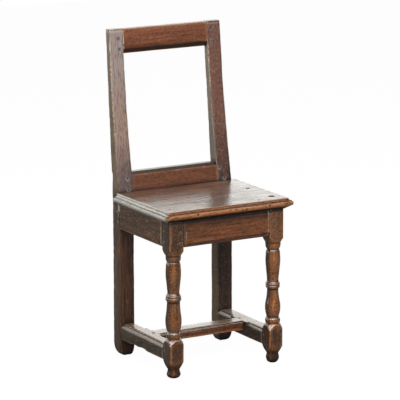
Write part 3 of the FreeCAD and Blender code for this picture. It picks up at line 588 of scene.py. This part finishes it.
def worn_copy(node_name, piece_name, slot, spacing, round_over, unevenness, ragged, seed, dents=(),
              cavities=(), swells=(), widen=0.0):
    """The node's shape with rounded arrises. Dents are (place, radius, depth). Swells round out a turned
    shoulder, as (middle height, half height, swelling). Widen moves the side face that it points to."""
    mesh = bmesh.new()
    mesh.from_mesh(nodes[node_name].data)
    bmesh.ops.remove_doubles(mesh, verts=mesh.verts, dist=SAME_POINT)
    if cavities:
        close_cavities(mesh, cavities)
    bmesh.ops.dissolve_limit(mesh, angle_limit=FLAT, verts=mesh.verts, edges=mesh.edges)
    if round_over:
        bmesh.ops.bevel(mesh, geom=long_arrises(mesh, round_over), offset=round_over, offset_type="OFFSET",
                        segments=2, profile=0.6, affect="EDGES", clamp_overlap=False)
    bmesh.ops.triangulate(mesh, faces=mesh.faces)
    low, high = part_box(node_name)
    sliced(mesh, low, high, spacing)
    mesh.normal_update()
    shift = Vector((seed, seed, seed))
    moves = []
    for vert in mesh.verts:
        push = noise.noise(vert.co / HOLLOW_PITCH + shift) * unevenness
        if max(abs(part) for part in vert.normal) < ON_A_FACE:
            # An edge stands a little proud, and the chips cut it back.
            push += (PROUD_SHARE - max(0.0, noise.noise(vert.co / CHIP_PITCH - shift))) * ragged
        for centre, radius, depth in dents:
            reach = (vert.co - Vector(centre)).length / radius
            push -= depth * max(0.0, 1.0 - reach * reach)
        for middle, half, swelling in swells:
            reach = (vert.co.z - middle) / half
            push += swelling * max(0.0, 1.0 - reach * reach) ** 2
        move = vert.normal * push
        move.x += max(0.0, vert.normal.x * math.copysign(1.0, widen)) * widen
        moves.append(move)
    for vert, move in zip(mesh.verts, moves):
        vert.co += move
        # Nothing reaches below the floor.
        vert.co.z = max(vert.co.z, 0.0)
    bmesh.ops.triangulate(mesh, faces=mesh.faces)
    data = bpy.data.meshes.new(piece_name)
    mesh.to_mesh(data)
    mesh.free()
    data.set_sharp_from_angle(angle=SMOOTH)
    for polygon in data.polygons:
        polygon.use_smooth = True
    data.materials.append(oak[finishes[node_name]])
    piece = bpy.data.objects.new(piece_name, data)
    scene.collection.objects.link(piece)
    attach(piece, "root")
    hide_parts(node_name)
    return piece


def deepen_end(piece):
    """The moulding on the seat's left end is cut deeper than along its front, less so at the corner."""
    for vert in piece.data.vertices:
        outward = min(1.0, max(0.0, (SEAT_END + END_LEVEL - vert.co.x) / (END_LEVEL - END_LOWERED)))
        from_corner = min(1.0, CORNER_SHARE + max(0.0, vert.co.y - SEAT_NOSE) / CORNER_RUN)
        vert.co.z -= END_DROP * outward * from_corner


# How closely a piece is sliced across X, Y and Z.
UPRIGHT = (14 * MM, 14 * MM, 9 * MM)
TURNING = (14 * MM, 14 * MM, 4 * MM)
LONG_X = (9 * MM, 14 * MM, 14 * MM)
LONG_Y = (14 * MM, 9 * MM, 14 * MM)
SEAT_GRID = (5 * MM, 5 * MM, 14 * MM)
# The heights between which a piece's mortises and peg holes are filled.
LEG_CAVITIES = ((0.045, 0.095), (0.358, 0.440))
POST_CAVITIES = ((0.040, 0.888),)
STRETCHER_DENTS = (((FRAME_SIDE, -0.012, 0.049), 24 * MM, 3.5 * MM),
                   ((FRAME_SIDE, 0.030, 0.049), 16 * MM, 2.0 * MM))
# The turned bodies are a little fuller than the solids': middle height, half height, swelling.
LEFT_LEG_SWELLS = ((0.3110, 0.0120, 1.0 * MM), (0.2560, 0.0300, 1.0 * MM), (0.2180, 0.0140, 1.2 * MM),
                   (0.1700, 0.0600, 1.0 * MM), (0.1165, 0.0095, 0.5 * MM))
RIGHT_LEG_SWELLS = ((0.3080, 0.0120, 1.0 * MM), (0.2520, 0.0220, 0.7 * MM), (0.2150, 0.0140, 1.1 * MM),
                    (0.1650, 0.0650, 1.0 * MM), (0.1180, 0.0090, 0.5 * MM))

# Node, piece, slot, spacing of the slices, then the round-over, unevenness and raggedness in millimetres, the
# place in the noise, and what only this piece has.
WORN_PIECES = (
    ("crest_rail", "worn_crest_rail", "back_rail_oak", LONG_X, 1.0, 0.5, 0.5, 1.1, {}),
    ("lower_back_rail", "worn_lower_back_rail", "back_rail_oak", LONG_X, 0.8, 0.5, 0.5, 2.3, {}),
    ("front_apron", "worn_front_apron", "apron_oak", LONG_X, 1.0, 0.5, 0.6, 3.7, {}),
    ("rear_apron", "worn_rear_apron", "apron_oak", LONG_X, 1.0, 0.5, 0.6, 4.9, {}),
    ("side_apron_left", "worn_left_apron", "apron_oak", LONG_Y, 1.0, 0.5, 0.6, 5.3, {}),
    ("side_apron_right", "worn_right_apron", "apron_oak", LONG_Y, 1.0, 0.5, 0.6, 6.1, {}),
    ("side_stretcher_left", "worn_left_stretcher", "stretcher_oak", LONG_Y, 0.8, 0.6, 0.7, 7.3,
     {"dents": STRETCHER_DENTS}),
    ("side_stretcher_right", "worn_right_stretcher", "stretcher_oak", LONG_Y, 0.8, 0.6, 0.7, 8.7, {}),
    ("medial_stretcher", "worn_medial_stretcher", "stretcher_oak", LONG_X, 0.8, 0.5, 0.6, 9.9, {}),
    ("rear_post_left", "worn_left_post", "post_oak", UPRIGHT, 0.0, 0.7, 1.2, 10.7,
     {"cavities": POST_CAVITIES, "widen": -2.0 * MM}),
    ("rear_post_right", "worn_right_post", "post_oak", UPRIGHT, 0.0, 0.7, 0.9, 11.3,
     {"cavities": POST_CAVITIES, "widen": 2.0 * MM}),
    ("front_leg_left", "worn_left_leg", "leg_oak", TURNING, 1.0, 0.4, 0.0, 12.1,
     {"cavities": LEG_CAVITIES, "swells": LEFT_LEG_SWELLS}),
    ("front_leg_right", "worn_right_leg", "leg_oak", TURNING, 1.0, 0.4, 0.0, 13.9,
     {"cavities": LEG_CAVITIES, "swells": RIGHT_LEG_SWELLS}),
    ("seat_board", "worn_seat_board", "seat_oak", SEAT_GRID, 0.0, 0.3, 0.7, 14.3,
     {"dents": KNOCKS + RUBS}),
)
worn = {}
for node_name, piece_name, slot, spacing, round_over, unevenness, ragged, seed, own in WORN_PIECES:
    worn[node_name] = worn_copy(node_name, piece_name, slot, spacing, round_over * MM, unevenness * MM,
                                ragged * MM, seed, **own)
deepen_end(worn["seat_board"])


# Floor
# White paper to the camera, with a faint shadow of the chair, and dim to the chair itself.

FLOOR_HALF = 6.0
# The share of the floor's white that glows. The rest takes the light, and so the shadow.
GLOW_SHARE = 0.92
# Where 1 is white. It makes up for the paper, which is a little darker than white.
GLOW_STRENGTH = 1.05


def studio_floor():
    """A wide sheet that glows for the camera and throws little light up at the chair."""
    material = bpy.data.materials.new("white_studio_floor")
    material.use_nodes = True
    tree = material.node_tree
    tree.nodes.clear()
    paper = add(tree, "ShaderNodeBsdfDiffuse", {"Color": linear("#ededed")})
    glow = add(tree, "ShaderNodeEmission", {"Color": linear("#ffffff"), "Strength": GLOW_STRENGTH})
    lit = add(tree, "ShaderNodeMixShader", {0: GLOW_SHARE}, i1=paper, i2=glow)
    dim = add(tree, "ShaderNodeBsdfDiffuse", {"Color": linear("#908e89")})
    ray = add(tree, "ShaderNodeLightPath")
    shown = add(tree, "ShaderNodeMixShader", i0=ray.outputs["Is Camera Ray"], i1=dim, i2=lit)
    add(tree, "ShaderNodeOutputMaterial", Surface=shown)
    mesh = bpy.data.meshes.new("studio_floor")
    corners = [(x * FLOOR_HALF, y * FLOOR_HALF, 0.0) for x, y in ((-1, -1), (1, -1), (1, 1), (-1, 1))]
    mesh.from_pydata(corners, [], [(0, 1, 2, 3)])
    floor = bpy.data.objects.new("studio_floor", mesh)
    floor.data.materials.append(material)
    scene.collection.objects.link(floor)


studio_floor()


# World
# A dark room with a bright wall behind the chair, which the wax mirrors at a low angle, and a window in front
# of it, to the left, which glints on the turned legs. The camera sees plain white instead, and the bare wood
# a soft cool light.

ROOM_STRENGTH = 0.10
WALL_STRENGTH = 1.85
WINDOW_STRENGTH = 3.6
WINDOW_TOWARDS = (-0.50, -0.87, 0.0)
SOFT_STRENGTH = 0.20
# How far a ray's direction, one unit long, goes back or up, or towards the window, where the wall and the
# window start and end. Above its top the wall dims to the ceiling's share.
WALL_EDGE = (-0.1, 0.5)
WALL_TOP = (0.60, 0.90)
CEILING_SHARE = 0.25
WINDOW_SIDES = (0.30, 0.55)
WINDOW_SILL = (0.40, 0.47)
WINDOW_HEAD = (0.80, 0.73)

world = bpy.data.worlds.new("studio_room")
scene.world = world
world.use_nodes = True
room = world.node_tree
room.nodes.clear()
direction = add(room, "ShaderNodeTexCoord").outputs["Generated"]
parts = add(room, "ShaderNodeSeparateXYZ", Vector=direction)
rise = parts.outputs["Z"]
wall = where_all(room, ((parts.outputs["Y"], *WALL_EDGE, 0.0, 1.0), (rise, *WALL_TOP, 1.0, CEILING_SHARE)))
wall_light = add(room, "ShaderNodeMapRange", {"To Min": ROOM_STRENGTH, "To Max": WALL_STRENGTH},
                 Value=wall)
towards_window = add(room, "ShaderNodeVectorMath", {"operation": "DOT_PRODUCT", 1: WINDOW_TOWARDS},
                     i0=direction).outputs["Value"]
window_light = where_all(room, ((towards_window, *WINDOW_SIDES, 0.0, WINDOW_STRENGTH),
                                (rise, *WINDOW_SILL, 0.0, 1.0), (rise, *WINDOW_HEAD, 0.0, 1.0)))
room_light = add(room, "ShaderNodeMath", {"operation": "MAXIMUM"}, i0=wall_light, i1=window_light)
soft = add(room, "ShaderNodeBackground", {"Color": linear("#f7fbff"), "Strength": SOFT_STRENGTH})
mirrored = add(room, "ShaderNodeBackground", {"Color": linear("#fdfffc")}, Strength=room_light)
backdrop = add(room, "ShaderNodeBackground", {"Color": linear("#ffffff"), "Strength": 1.0})
rays = add(room, "ShaderNodeLightPath")
around = add(room, "ShaderNodeMixShader", i0=rays.outputs["Is Glossy Ray"], i1=soft, i2=mirrored)
seen = add(room, "ShaderNodeMixShader", i0=rays.outputs["Is Camera Ray"], i1=around, i2=backdrop)
add(room, "ShaderNodeOutputWorld", Surface=seen)


# Lights
# A wide soft key high in front and a little to the left, a softbox from the right, a large one overhead, and
# a weaker cool fill from the far left.

CHAIR_MIDDLE = Vector((0.0, 0.0, 0.45))


def softbox(name, azimuth, elevation, distance, width, height, power, colour):
    """A lamp that faces the middle of the chair: angles in degrees, lengths in metres, power in watts."""
    data = bpy.data.lights.new(name, "AREA")
    data.shape = "RECTANGLE"
    data.size = width
    data.size_y = height
    data.energy = power
    data.color = linear(colour)[:3]
    lamp = bpy.data.objects.new(name, data)
    turn = math.radians(azimuth)
    tilt = math.radians(elevation)
    level = distance * math.cos(tilt)
    arm = Vector((level * math.sin(turn), -level * math.cos(turn), distance * math.sin(tilt)))
    lamp.location = CHAIR_MIDDLE + arm
    lamp.rotation_euler = (-arm).to_track_quat("-Z", "Y").to_euler()
    scene.collection.objects.link(lamp)


softbox("key_softbox", -20.0, 27.0, 3.6, 2.8, 1.2, 52.0, "#fffcf8")
softbox("side_softbox", 38.0, 29.0, 3.6, 2.0, 0.9, 18.0, "#fffaf2")
softbox("overhead_softbox", -5.0, 68.0, 3.4, 3.0, 3.0, 58.0, "#fff8ee")
softbox("fill_softbox", -74.0, 28.0, 3.4, 2.6, 1.2, 28.0, "#eef4ff")


# Camera
# Its place, turn and lens are worked out from the chair's own corners in the photograph.

AZIMUTH = math.radians(-29.88)
ELEVATION = math.radians(12.48)
ROLL = math.radians(-0.09)
CAMERA_PLACE = (-3.6744, -6.4177, 2.0731)
SENSOR_WIDTH = 36.0
FOCAL_LENGTH = 253.925
FARTHEST_SEEN = 100.0

back = Vector((math.sin(AZIMUTH) * math.cos(ELEVATION), -math.cos(AZIMUTH) * math.cos(ELEVATION),
               math.sin(ELEVATION)))
right = Vector((math.cos(AZIMUTH), math.sin(AZIMUTH), 0.0))
up = back.cross(right)
turned_right = right * math.cos(ROLL) + up * math.sin(ROLL)
turned_up = up * math.cos(ROLL) - right * math.sin(ROLL)
lens = bpy.data.cameras.new("camera")
lens.sensor_width = SENSOR_WIDTH
lens.lens = FOCAL_LENGTH
lens.clip_end = FARTHEST_SEEN
camera = bpy.data.objects.new("camera", lens)
camera.matrix_world = Matrix.Translation(CAMERA_PLACE) @ Matrix(
    (turned_right, turned_up, back)).transposed().to_4x4()
scene.collection.objects.link(camera)
scene.camera = camera
scene.view_settings.view_transform = "Standard"
